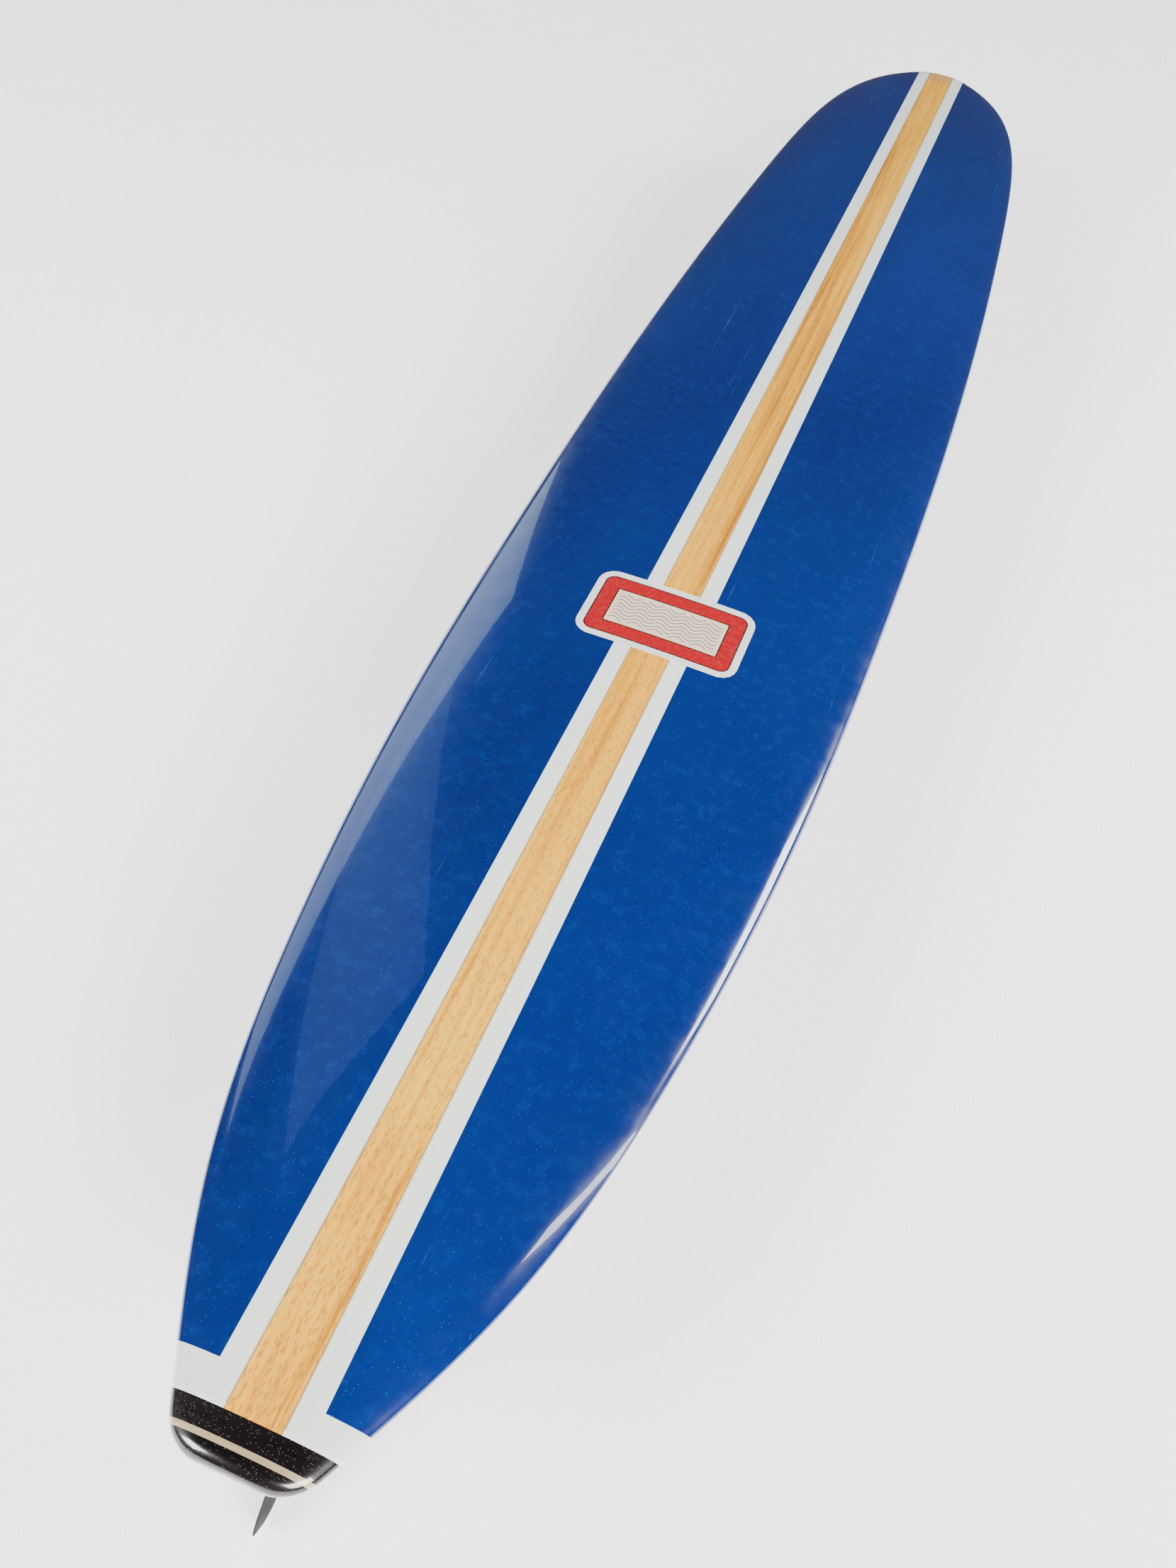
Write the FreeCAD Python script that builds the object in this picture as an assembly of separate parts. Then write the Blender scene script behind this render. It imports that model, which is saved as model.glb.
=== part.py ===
import FreeCAD, Part
import math
import os

os.makedirs("parts", exist_ok=True)

# A 10 foot longboard surfboard, with a wide balsa stringer, a laminated tail block
# and one fin that slides in a box.
# Frame: +Y towards the nose, +X to the right seen from above with the nose ahead,
# +Z up through the deck. Origin: on the centre line, at half length, at the height
# of the lowest point of the bottom. Millimetres.

# ---- driving dimensions: outline ----
LENGTH = 3048.0
HALF_LENGTH = LENGTH / 2
OUTLINE_STATIONS = (0.0, 0.06, 0.15, 0.27, 0.40, 0.55, 0.70, 0.85, 1.0)
OUTLINE_HALF_WIDTHS = (56.5, 143.0, 213.0, 257.5, 275.5, 280.5, 272.0, 264.0, 283.0)
NOSE_FULLNESS = 10.0
NOSE_ROUNDNESS = 2.1
TAIL_CORNER_R = 25.0

# ---- driving dimensions: side view ----
ROCKER_APEX_Y = -150.0
NOSE_ROCKER = 82.0
NOSE_ROCKER_POWER = 1.95
TAIL_ROCKER = 70.0
TAIL_ROCKER_POWER = 2.07
THICKNESS_STATIONS = (0.0, 0.10, 0.30, 0.50, 0.70, 0.88, 1.0)
THICKNESSES = (34.0, 49.0, 73.0, 79.0, 70.0, 50.0, 30.0)
TAIL_EDGE_R = 12.0
NOSE_EDGE_R = 20.0

# ---- driving dimensions: section ----
DECK_POWER = 2.3
BOTTOM_POWER = 3.2
SKIN = 1.0

# ---- driving dimensions: pieces ----
STRINGER_HALF = 26.4
BAND_EDGE = 50.2
PANEL_END_LEFT = -1450.5
PANEL_END_RIGHT = -1456.0
STRIP_FRONT_Y = -1479.5
BLOCK_FRONT_Y = -1483.5
STRIPE_FRONT_Y = -1503.0
STRIPE_REAR_Y = -1508.0

LABEL_Y = -432.5
LABEL_HALF_WIDTH = 112.0
LABEL_HALF_LENGTH = 66.0
LABEL_CORNER_R = 24.0
LABEL_THICKNESS = 0.25
LABEL_LIFT = 0.05

# ---- driving dimensions: fin box, in its own frame: mouth at zero, up into the board ----
BOX_FRONT_Y = -1180.0
BOX_REAR_Y = -1452.0
BOX_HALF_WIDTH = 14.0
BOX_DEPTH = 26.0
BOX_ROOF = 4.0
BOX_END = 12.0
SLOT_HALF_WIDTH = 4.65
CHANNEL_HALF_WIDTH = 9.2
CHANNEL_BOTTOM = 11.7
CHANNEL_TOP = 17.3
DROP_IN_HALF_LENGTH = 9.0

# ---- driving dimensions: fin, in the box's frame ----
FIN_THICKNESS = 8.6
FIN_TIP_THICKNESS = 3.4
FIN_LEADING = ((-1.5, 71.0), (-35.0, 56.0), (-90.0, 18.0), (-160.0, -45.0), (-212.0, -118.0),
               (-227.5, -158.0))
FIN_TRAILING = ((-1.5, -87.0), (-45.0, -102.0), (-100.0, -128.0), (-168.0, -172.0), (-212.0, -199.5),
                (-227.5, -186.0))
FIN_ROWS = 18
FIN_TAPER_POWER = 1.4
FOIL_POINTS = 12
FOIL_REAR = 0.62
TONGUE_REAR = -88.0
TONGUE_FRONT = 46.0
TONGUE_TOP = 20.0
TAB_FRONT = 72.0
TAB_TOP = 4.5
PIN_R = 2.4
PIN_HALF_LENGTH = 8.4
PIN_Y = -80.0
PIN_Z = 14.5
SCREW_Y = 60.0
SCREW_R = 2.0
SCREW_HEAD_R = 3.4
SCREW_HEAD_BOTTOM = 0.2
SCREW_HEAD_TOP = 2.4
SCREW_TOP = 17.0
SCREW_SLOT_HALF_WIDTH = 0.5
SCREW_SLOT_TOP = 1.2
SCREW_CLEARANCE = 0.1
PLATE_HALF = 7.5
PLATE_BOTTOM = 12.4
PLATE_TOP = 15.4

# ---- sampling of the shaped surfaces ----
TAIL_STATIONS = 6
MIDDLE_STATIONS = 26
NOSE_STATIONS = 9
NOSE_CLOSE_LENGTH = 190.0
NOSE_CAP = 0.8
SECTION_POINTS = 34
SECTION_EASE = 0.7
NOSE_TIP_SHARE = 0.06
LAP_DROP = 2.5
LAP_SPANS = 24
LAP_OVERRUN = 20.0
LABEL_GRID = 9
LABEL_SHEET_SHARE = 1.1
CORNER_SHARE = 0.95
FAR = 4000.0


def save(shape, name):
    """Write one node."""
    if shape.ShapeType == "Compound" and len(shape.Solids) == 1:
        shape = shape.Solids[0]
    print(name, len(shape.Solids), round(shape.Volume / 1000.0, 2), "cm3", shape.isValid())
    shape.exportStep("parts/" + name + ".step")


def natural_spline(xs, ys):
    """Natural cubic spline through the given points, as a function."""
    n = len(xs)
    h = [xs[i + 1] - xs[i] for i in range(n - 1)]
    curve = [0.0] * n
    diag = [0.0] * n
    for i in range(1, n - 1):
        slope_change = (ys[i + 1] - ys[i]) / h[i] - (ys[i] - ys[i - 1]) / h[i - 1]
        lower = h[i - 1] / diag[i - 1] if i > 1 else 0.0
        diag[i] = 2 * (h[i - 1] + h[i]) - lower * h[i - 1]
        curve[i] = 6 * slope_change - lower * curve[i - 1]
    for i in range(n - 2, 0, -1):
        curve[i] = (curve[i] - h[i] * curve[i + 1]) / diag[i]

    def value(x):
        i = 0
        while i < n - 2 and x > xs[i + 1]:
            i += 1
        a = (xs[i + 1] - x) / h[i]
        b = (x - xs[i]) / h[i]
        bend = (a ** 3 - a) * curve[i] + (b ** 3 - b) * curve[i + 1]
        return a * ys[i] + b * ys[i + 1] + bend * h[i] ** 2 / 6

    return value


OUTLINE = natural_spline(OUTLINE_STATIONS, OUTLINE_HALF_WIDTHS)
THICKNESS = natural_spline(THICKNESS_STATIONS, THICKNESSES)


def edge_round(distance, radius):
    """How far a rounded edge has drawn in, at a distance from the end."""
    d = min(max(distance, 0.0), radius)
    return radius - math.sqrt(radius ** 2 - (radius - d) ** 2)


def half_width(y):
    """Half width of the outline at a station."""
    s = min(max((y + HALF_LENGTH) / LENGTH, 0.0), 1.0)
    nose = max(1 - s ** NOSE_FULLNESS, 0.0) ** (1 / NOSE_ROUNDNESS)
    return max(OUTLINE(s) * nose - edge_round(y + HALF_LENGTH, TAIL_CORNER_R), 2.0)


def centre_height(y):
    """Height of the middle of the thickness."""
    s = min(max((y + HALF_LENGTH) / LENGTH, 0.0), 1.0)
    if y > ROCKER_APEX_Y:
        share = (y - ROCKER_APEX_Y) / (HALF_LENGTH - ROCKER_APEX_Y)
        return NOSE_ROCKER * share ** NOSE_ROCKER_POWER + THICKNESS(s) / 2
    share = (ROCKER_APEX_Y - y) / (HALF_LENGTH + ROCKER_APEX_Y)
    return TAIL_ROCKER * share ** TAIL_ROCKER_POWER + THICKNESS(s) / 2


def thickness(y):
    """Thickness on the centre line, with both ends rounded."""
    s = min(max((y + HALF_LENGTH) / LENGTH, 0.0), 1.0)
    full = THICKNESS(s) - 2 * edge_round(y + HALF_LENGTH, TAIL_EDGE_R)
    front = min(max((HALF_LENGTH - y) / NOSE_EDGE_R, 0.0), 1.0)
    return full * math.sqrt(max(1 - (1 - front) ** 2, NOSE_TIP_SHARE))


def surface_height(x, y, side):
    """Height of the deck (side 1) or of the bottom (side -1)."""
    u = min(abs(x) / half_width(y), 1.0)
    power = DECK_POWER if side > 0 else BOTTOM_POWER
    return centre_height(y) + side * thickness(y) / 2 * math.sqrt(max(1 - u ** power, 0.0))


def stations():
    """Stations from tail to nose, close together where the outline turns fast."""
    tail = []
    for i in range(TAIL_STATIONS + 1):
        turn = math.pi / 2 * i / TAIL_STATIONS
        tail.append(-HALF_LENGTH + TAIL_CORNER_R * (1 - math.cos(turn)))
    nose = []
    for i in range(NOSE_STATIONS, -1, -1):
        nose.append(HALF_LENGTH - NOSE_CAP - NOSE_CLOSE_LENGTH * (i / NOSE_STATIONS) ** 2)
    middle = []
    for i in range(1, MIDDLE_STATIONS):
        share = i / MIDDLE_STATIONS
        eased = (share + (1 - math.cos(math.pi * share)) / 2) / 2
        middle.append(tail[-1] + (nose[0] - tail[-1]) * eased)
    return tail + middle + nose


def section(y, inset, side):
    """Row of control points across the deck (side 1) or the bottom (side -1), rail to rail."""
    b = half_width(y) - inset
    h = thickness(y) / 2 - inset
    power = DECK_POWER if side > 0 else BOTTOM_POWER
    shrunk_y = y * (HALF_LENGTH - inset) / HALF_LENGTH
    row = []
    for i in range(SECTION_POINTS + 1):
        turn = math.pi * i / SECTION_POINTS
        u = abs(math.cos(turn)) ** SECTION_EASE
        rise = h * math.sqrt(max(1 - u ** power, 0.0))
        x = math.copysign(b * u, -math.cos(turn))
        row.append(FreeCAD.Vector(x, shrunk_y, centre_height(y) + side * rise))
    return row


def clamped(count):
    """Knots and multiplicities of a cubic with evenly spaced knots that starts on its first point."""
    knots = [float(i) for i in range(count - 2)]
    return knots, [4] + [1] * (len(knots) - 2) + [4]


def surface_on(rows):
    """Cubic surface over a net of control points."""
    u_knots, u_mults = clamped(len(rows))
    v_knots, v_mults = clamped(len(rows[0]))
    surface = Part.BSplineSurface()
    surface.buildFromPolesMultsKnots(rows, u_mults, v_mults, u_knots, v_knots, False, False, 3, 3)
    return surface.toShape()


def end_cap(rows_a, rows_b, index):
    """Flat face between the first or last rows of two surfaces."""
    edges = []
    for rows in (rows_a, rows_b):
        knots, mults = clamped(len(rows[index]))
        curve = Part.BSplineCurve()
        curve.buildFromPolesMultsKnots(rows[index], mults, knots, False, 3)
        edges.append(curve.toShape())
    return Part.Face(Part.Wire(edges))


def solid_between(rows_a, rows_b):
    """Closed solid between two surfaces that share their long edges, with flat ends."""
    faces = [surface_on(rows_a), surface_on(rows_b)]
    faces.append(end_cap(rows_a, rows_b, 0))
    faces.append(end_cap(rows_a, rows_b, -1))
    shell = Part.makeShell(faces)
    shell.sewShape()
    solid = Part.makeSolid(shell)
    if solid.Volume < 0:
        solid.reverse()
    return solid


def board_body(inset):
    """The whole board as one solid, drawn in by the inset."""
    ys = stations()
    deck = [section(y, inset, 1) for y in ys]
    bottom = [section(y, inset, -1) for y in ys]
    return solid_between(deck, bottom)


def block(x0, x1, y0, y1, z0=-FAR, z1=FAR):
    """Box between two corners."""
    return Part.makeBox(x1 - x0, y1 - y0, z1 - z0, FreeCAD.Vector(x0, y0, z0))


def above_lap():
    """Everything above the lap line, just under the widest part of the rails."""
    points = []
    for i in range(LAP_SPANS + 1):
        y = -HALF_LENGTH - LAP_OVERRUN + (LENGTH + 2 * LAP_OVERRUN) * i / LAP_SPANS
        inside = min(max(y, -HALF_LENGTH), HALF_LENGTH)
        points.append(FreeCAD.Vector(-FAR, y, centre_height(inside) - LAP_DROP))
    line = Part.BSplineCurve()
    line.interpolate(points)
    top_front = FreeCAD.Vector(-FAR, points[-1].y, FAR)
    top_rear = FreeCAD.Vector(-FAR, points[0].y, FAR)
    edges = [line.toShape()]
    edges.append(Part.makeLine(points[-1], top_front))
    edges.append(Part.makeLine(top_front, top_rear))
    edges.append(Part.makeLine(top_rear, points[0]))
    return Part.Face(Part.Wire(edges)).extrude(FreeCAD.Vector(2 * FAR, 0, 0))


def make_core(core, pocket):
    """Foam halves, stringer and the four tail pieces."""
    save(core.common(block(-FAR, -STRINGER_HALF, STRIP_FRONT_Y, FAR)), "foam_left")
    save(core.common(block(STRINGER_HALF, FAR, STRIP_FRONT_Y, FAR)), "foam_right")
    middle = core.common(block(-STRINGER_HALF, STRINGER_HALF, BLOCK_FRONT_Y, FAR))
    save(middle.cut(pocket), "stringer")
    left = block(-FAR, -STRINGER_HALF, BLOCK_FRONT_Y, STRIP_FRONT_Y)
    right = block(STRINGER_HALF, FAR, BLOCK_FRONT_Y, STRIP_FRONT_Y)
    save(core.common(left), "tail_strip_left")
    save(core.common(right), "tail_strip_right")
    save(core.common(block(-FAR, FAR, STRIPE_FRONT_Y, BLOCK_FRONT_Y)), "tail_block_front")
    save(core.common(block(-FAR, FAR, STRIPE_REAR_Y, STRIPE_FRONT_Y)), "tail_block_stripe")
    save(core.common(block(-FAR, FAR, -FAR, STRIPE_REAR_Y)), "tail_block_rear")


def make_skins(outer, core, pocket):
    """Deck and bottom glass, each a clear part and two coloured panels."""
    upper = above_lap()
    skin = outer.cut(core)
    left = block(-FAR, -BAND_EDGE, PANEL_END_LEFT, FAR)
    right = block(BAND_EDGE, FAR, PANEL_END_RIGHT, FAR)
    for side, half in (("deck", skin.common(upper)), ("bottom", skin.cut(upper))):
        save(half.common(left), side + "_panel_left")
        save(half.common(right), side + "_panel_right")
        clear = half.cut(left.fuse(right))
        if side == "bottom":
            clear = clear.cut(pocket)
        save(clear, side + "_glass")


def make_label():
    """Thin printed sheet that follows the deck's crown."""
    grid = []
    for i in range(LABEL_GRID):
        x = LABEL_HALF_WIDTH * (2 * i / (LABEL_GRID - 1) - 1) * LABEL_SHEET_SHARE
        row = []
        for j in range(LABEL_GRID):
            y = LABEL_Y + LABEL_HALF_LENGTH * (2 * j / (LABEL_GRID - 1) - 1) * LABEL_SHEET_SHARE
            row.append(FreeCAD.Vector(x, y, surface_height(x, y, 1) + LABEL_LIFT))
        grid.append(row)
    surface = Part.BSplineSurface()
    surface.interpolate(grid)
    sheet = surface.toShape().extrude(FreeCAD.Vector(0, 0, LABEL_THICKNESS))
    outline = block(-LABEL_HALF_WIDTH, LABEL_HALF_WIDTH,
                    LABEL_Y - LABEL_HALF_LENGTH, LABEL_Y + LABEL_HALF_LENGTH)
    corners = [e for e in outline.Edges if e.BoundBox.ZLength > FAR]
    save(sheet.common(outline.makeFillet(LABEL_CORNER_R, corners)), "label")


def local_frame():
    """Placement of the fin box: its mouth lies on the bottom, its length along the rocker."""
    front = surface_height(0, BOX_FRONT_Y, -1)
    rear = surface_height(0, BOX_REAR_Y, -1)
    pitch = math.atan2(front - rear, BOX_FRONT_Y - BOX_REAR_Y)
    middle_y = (BOX_FRONT_Y + BOX_REAR_Y) / 2
    origin = FreeCAD.Vector(0, middle_y, (front + rear) / 2)
    return FreeCAD.Placement(origin, FreeCAD.Rotation(FreeCAD.Vector(1, 0, 0), math.degrees(pitch)))


def placed(shape, place):
    """A copy of the shape in the board's frame."""
    moved = shape.copy()
    moved.Placement = place.multiply(moved.Placement)
    return moved


def box_outline(half_width_x, top, end_gap=0.0):
    """Round-ended block of the fin box's length, from below the mouth up to a height."""
    half_length = (BOX_FRONT_Y - BOX_REAR_Y) / 2 - end_gap
    body = block(-half_width_x, half_width_x, -half_length, half_length, -BOX_DEPTH, top)
    corners = [e for e in body.Edges if e.BoundBox.ZLength > BOX_DEPTH]
    return body.makeFillet(half_width_x * CORNER_SHARE, corners)


def make_fin_box(pocket, core_and_skin, place):
    """Fin box: a slot with a wider channel above it, and a place to drop the pin in."""
    slot = box_outline(SLOT_HALF_WIDTH, BOX_DEPTH - BOX_ROOF, BOX_END)
    half_length = (BOX_FRONT_Y - BOX_REAR_Y) / 2 - BOX_END
    channel = block(-CHANNEL_HALF_WIDTH, CHANNEL_HALF_WIDTH, -half_length, half_length,
                    CHANNEL_BOTTOM, CHANNEL_TOP)
    drop_in = block(-CHANNEL_HALF_WIDTH, CHANNEL_HALF_WIDTH, -DROP_IN_HALF_LENGTH,
                    DROP_IN_HALF_LENGTH, -BOX_DEPTH, CHANNEL_TOP)
    hollow = slot.fuse(channel).fuse(drop_in)
    save(core_and_skin.common(pocket).cut(placed(hollow, place)), "fin_box")


def foil_row(z, rear, front, full_thickness, side):
    """Row of control points over one face of the fin, from its rear edge to its front edge."""
    row = []
    for i in range(FOIL_POINTS + 1):
        turn = math.pi * i / FOIL_POINTS
        along = (1 - math.cos(turn)) / 2
        x = side * full_thickness / 2 * math.sin(turn) * (FOIL_REAR + (1 - FOIL_REAR) * along)
        row.append(FreeCAD.Vector(x, rear + (front - rear) * along, z))
    return row


def fin_blade():
    """Raked fin blade, foiled from the root to the tip."""
    leading = natural_spline([-p[0] for p in FIN_LEADING], [p[1] for p in FIN_LEADING])
    trailing = natural_spline([-p[0] for p in FIN_TRAILING], [p[1] for p in FIN_TRAILING])
    root = -FIN_LEADING[0][0]
    depth = -FIN_LEADING[-1][0]
    faces = ([], [])
    for i in range(FIN_ROWS + 1):
        share = math.sin(math.pi / 2 * i / FIN_ROWS)
        down = root + (depth - root) * share
        full = FIN_THICKNESS + (FIN_TIP_THICKNESS - FIN_THICKNESS) * share ** FIN_TAPER_POWER
        for rows, side in zip(faces, (1, -1)):
            rows.append(foil_row(-down, trailing(down), leading(down), full, side))
    return solid_between(faces[0], faces[1])


def screw_cylinder(radius, bottom, top):
    """Cylinder on the fin screw's axis, in the box's frame."""
    start = FreeCAD.Vector(0, SCREW_Y, bottom)
    return Part.makeCylinder(radius, top - bottom, start, FreeCAD.Vector(0, 0, 1))


def make_fin_group(place):
    """Fin with its tongue, and the pin, plate and screw that hold it in the box."""
    half = FIN_THICKNESS / 2
    root = FIN_LEADING[0][0]
    tongue = block(-half, half, TONGUE_REAR, TONGUE_FRONT, root, TONGUE_TOP)
    tab = block(-half, half, TONGUE_FRONT, TAB_FRONT, root, TAB_TOP)
    hole = screw_cylinder(SCREW_R + SCREW_CLEARANCE, -BOX_DEPTH, BOX_DEPTH)
    recess = screw_cylinder(SCREW_HEAD_R + SCREW_CLEARANCE, -BOX_DEPTH, SCREW_HEAD_TOP + SCREW_CLEARANCE)
    pin_start = FreeCAD.Vector(-PIN_HALF_LENGTH, PIN_Y, PIN_Z)
    pin = Part.makeCylinder(PIN_R, 2 * PIN_HALF_LENGTH, pin_start, FreeCAD.Vector(1, 0, 0))
    fin = fin_blade().fuse(tongue).fuse(tab).cut(recess).cut(hole).cut(pin)
    save(placed(fin, place), "fin")
    save(placed(pin, place), "fin_pin")
    plate = block(-PLATE_HALF, PLATE_HALF, SCREW_Y - PLATE_HALF, SCREW_Y + PLATE_HALF,
                  PLATE_BOTTOM, PLATE_TOP)
    save(placed(plate.cut(hole), place), "fin_plate")
    shank = screw_cylinder(SCREW_R, SCREW_HEAD_BOTTOM, SCREW_TOP)
    head = screw_cylinder(SCREW_HEAD_R, SCREW_HEAD_BOTTOM, SCREW_HEAD_TOP)
    driver_slot = block(-SCREW_HEAD_R, SCREW_HEAD_R, SCREW_Y - SCREW_SLOT_HALF_WIDTH,
                        SCREW_Y + SCREW_SLOT_HALF_WIDTH, SCREW_HEAD_BOTTOM, SCREW_SLOT_TOP)
    save(placed(shank.fuse(head).cut(driver_slot), place), "fin_screw")


def build():
    """Write every node of the board."""
    outer = board_body(0.0)
    core = board_body(SKIN)
    place = local_frame()
    pocket = placed(box_outline(BOX_HALF_WIDTH, BOX_DEPTH), place)
    make_core(core, pocket)
    make_skins(outer, core, pocket)
    make_label()
    make_fin_box(pocket, outer, place)
    make_fin_group(place)


build()
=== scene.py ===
import math

import bmesh
import bpy
from mathutils import Matrix, Vector


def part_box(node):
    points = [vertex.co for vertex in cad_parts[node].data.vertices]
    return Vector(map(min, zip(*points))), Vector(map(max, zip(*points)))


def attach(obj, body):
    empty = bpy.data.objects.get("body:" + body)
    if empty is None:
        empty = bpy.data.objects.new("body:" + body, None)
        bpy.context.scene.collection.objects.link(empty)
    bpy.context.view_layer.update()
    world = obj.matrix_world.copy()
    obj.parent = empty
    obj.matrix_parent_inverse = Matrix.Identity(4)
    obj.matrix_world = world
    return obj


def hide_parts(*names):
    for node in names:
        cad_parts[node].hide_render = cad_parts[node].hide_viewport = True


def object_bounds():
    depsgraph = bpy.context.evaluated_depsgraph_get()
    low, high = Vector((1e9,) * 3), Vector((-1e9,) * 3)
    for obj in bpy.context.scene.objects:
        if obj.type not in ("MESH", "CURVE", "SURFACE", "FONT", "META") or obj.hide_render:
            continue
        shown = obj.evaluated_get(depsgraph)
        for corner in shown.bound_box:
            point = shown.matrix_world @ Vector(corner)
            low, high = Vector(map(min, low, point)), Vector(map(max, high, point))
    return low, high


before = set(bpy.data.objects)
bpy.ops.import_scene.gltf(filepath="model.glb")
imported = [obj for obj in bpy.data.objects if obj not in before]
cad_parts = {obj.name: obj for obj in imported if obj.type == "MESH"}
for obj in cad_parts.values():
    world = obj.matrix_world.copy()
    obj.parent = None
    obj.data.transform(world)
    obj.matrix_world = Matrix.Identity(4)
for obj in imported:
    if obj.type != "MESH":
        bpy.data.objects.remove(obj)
CAD_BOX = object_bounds()

# ---- the board's own shape, in metres: the same formulas as the CAD model ----
LENGTH = 3.048
HALF_LENGTH = LENGTH / 2
OUTLINE_STATIONS = (0.0, 0.06, 0.15, 0.27, 0.40, 0.55, 0.70, 0.85, 1.0)
OUTLINE_HALF_WIDTHS = (0.0565, 0.143, 0.213, 0.2575, 0.2755, 0.2805, 0.272, 0.264, 0.283)
NOSE_FULLNESS = 10.0
NOSE_ROUNDNESS = 2.1
TAIL_CORNER_R = 0.025
ROCKER_APEX_Y = -0.150
NOSE_ROCKER = 0.082
NOSE_ROCKER_POWER = 1.95
TAIL_ROCKER = 0.070
TAIL_ROCKER_POWER = 2.07
THICKNESS_STATIONS = (0.0, 0.10, 0.30, 0.50, 0.70, 0.88, 1.0)
THICKNESSES = (0.034, 0.049, 0.073, 0.079, 0.070, 0.050, 0.030)
TAIL_EDGE_R = 0.012
NOSE_EDGE_R = 0.020
DECK_POWER = 2.3
BOTTOM_POWER = 3.2
SURFACE_INSET = 0.0005      # keeps the smooth skins just inside the CAD box

# ---- seams, read from the CAD nodes ----
STRINGER_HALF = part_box("stringer")[1][0]
BAND_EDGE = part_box("deck_panel_right")[0][0]
PANEL_END = {"left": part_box("deck_panel_left")[0][1], "right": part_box("deck_panel_right")[0][1]}
STRIP_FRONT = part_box("tail_strip_left")[1][1]
BLOCK_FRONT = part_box("tail_block_front")[1][1]
STRIPE_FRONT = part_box("tail_block_stripe")[1][1]
STRIPE_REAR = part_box("tail_block_stripe")[0][1]
TAIL_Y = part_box("deck_glass")[0][1]
NOSE_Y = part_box("deck_glass")[1][1]
BOX_LOW, BOX_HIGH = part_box("fin_box")
SKIN = 0.0012
ROW_STEP = 0.011
NOSE_CLOSE = 0.17          # stretch at the nose where the rows draw together
NOSE_ROWS = 34
TAIL_ROWS = 12
SLIVER = 1e-7
PAST_THE_RAIL = 10.0       # wider than the board: a seam that runs out to the rail
LABEL_CORNER = 0.024
LABEL_PROUD = 0.00012
LABEL_DEPTH = 0.0003
BOX_DEPTH = 0.026
NOSE_LAP = 0.055           # where the bottom cloth laps over the nose


# ---------------------------------------------------------------- shape
def natural_spline(xs, ys):
    """Natural cubic spline through the given points, as a function."""
    n = len(xs)
    h = [xs[i + 1] - xs[i] for i in range(n - 1)]
    curve = [0.0] * n
    diag = [0.0] * n
    for i in range(1, n - 1):
        slope_change = (ys[i + 1] - ys[i]) / h[i] - (ys[i] - ys[i - 1]) / h[i - 1]
        lower = h[i - 1] / diag[i - 1] if i > 1 else 0.0
        diag[i] = 2 * (h[i - 1] + h[i]) - lower * h[i - 1]
        curve[i] = 6 * slope_change - lower * curve[i - 1]
    for i in range(n - 2, 0, -1):
        curve[i] = (curve[i] - h[i] * curve[i + 1]) / diag[i]

    def value(x):
        i = 0
        while i < n - 2 and x > xs[i + 1]:
            i += 1
        a = (xs[i + 1] - x) / h[i]
        b = (x - xs[i]) / h[i]
        bend = (a ** 3 - a) * curve[i] + (b ** 3 - b) * curve[i + 1]
        return a * ys[i] + b * ys[i + 1] + bend * h[i] ** 2 / 6

    return value


OUTLINE = natural_spline(OUTLINE_STATIONS, OUTLINE_HALF_WIDTHS)
THICKNESS = natural_spline(THICKNESS_STATIONS, THICKNESSES)


def edge_round(distance, radius):
    """How far a rounded edge has drawn in, at a distance from the end."""
    d = min(max(distance, 0.0), radius)
    return radius - math.sqrt(radius ** 2 - (radius - d) ** 2)


def length_share(y):
    """Position along the board, 0 at the tail and 1 at the nose."""
    return min(max((y - TAIL_Y) / (NOSE_Y - TAIL_Y), 0.0), 1.0)


def half_width(y):
    """Half width of the outline at a station."""
    s = length_share(y)
    nose = max(1 - s ** NOSE_FULLNESS, 0.0) ** (1 / NOSE_ROUNDNESS)
    return max(OUTLINE(s) * nose - edge_round(y - TAIL_Y, TAIL_CORNER_R) - SURFACE_INSET, 0.0)


def centre_height(y):
    """Height of the middle of the thickness."""
    if y > ROCKER_APEX_Y:
        share = (y - ROCKER_APEX_Y) / (HALF_LENGTH - ROCKER_APEX_Y)
        return NOSE_ROCKER * share ** NOSE_ROCKER_POWER + THICKNESS(length_share(y)) / 2
    share = (ROCKER_APEX_Y - y) / (HALF_LENGTH + ROCKER_APEX_Y)
    return TAIL_ROCKER * share ** TAIL_ROCKER_POWER + THICKNESS(length_share(y)) / 2


def half_thickness(y):
    """Half thickness on the centre line, with both ends rounded."""
    full = THICKNESS(length_share(y)) - 2 * edge_round(y - TAIL_Y, TAIL_EDGE_R)
    front = min(max((NOSE_Y - y) / NOSE_EDGE_R, 0.0), 1.0)
    return max(full / 2 * math.sqrt(max(1 - (1 - front) ** 2, 0.0)) - SURFACE_INSET, 0.0)


def surface_point(y, u, side):
    """Point of the skin at a station, at a share of the half width (negative on the left)."""
    power = DECK_POWER if side > 0 else BOTTOM_POWER
    rise = half_thickness(y) * math.sqrt(max(1 - abs(u) ** power, 0.0))
    return Vector((half_width(y) * u, y, centre_height(y) + side * rise))


def surface_normal(y, u, side):
    """Outward normal of the skin, from the shape itself."""
    power = DECK_POWER if side > 0 else BOTTOM_POWER
    size = max(abs(u), 1e-6)
    depth = math.sqrt(max(1 - size ** power, 0.0))
    across = Vector((half_width(y) * depth, 0.0,
                     -side * half_thickness(y) * power / 2 * size ** (power - 1) * math.copysign(1.0, u)))
    step = 0.0006
    along = surface_point(min(y + step, NOSE_Y), u, side) - surface_point(max(y - step, TAIL_Y), u, side)
    normal = across.cross(along) * side
    if normal.length < 1e-12:
        return Vector((0.0, 1.0 if y > 0 else -1.0, 0.0))
    return normal.normalized()


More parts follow.
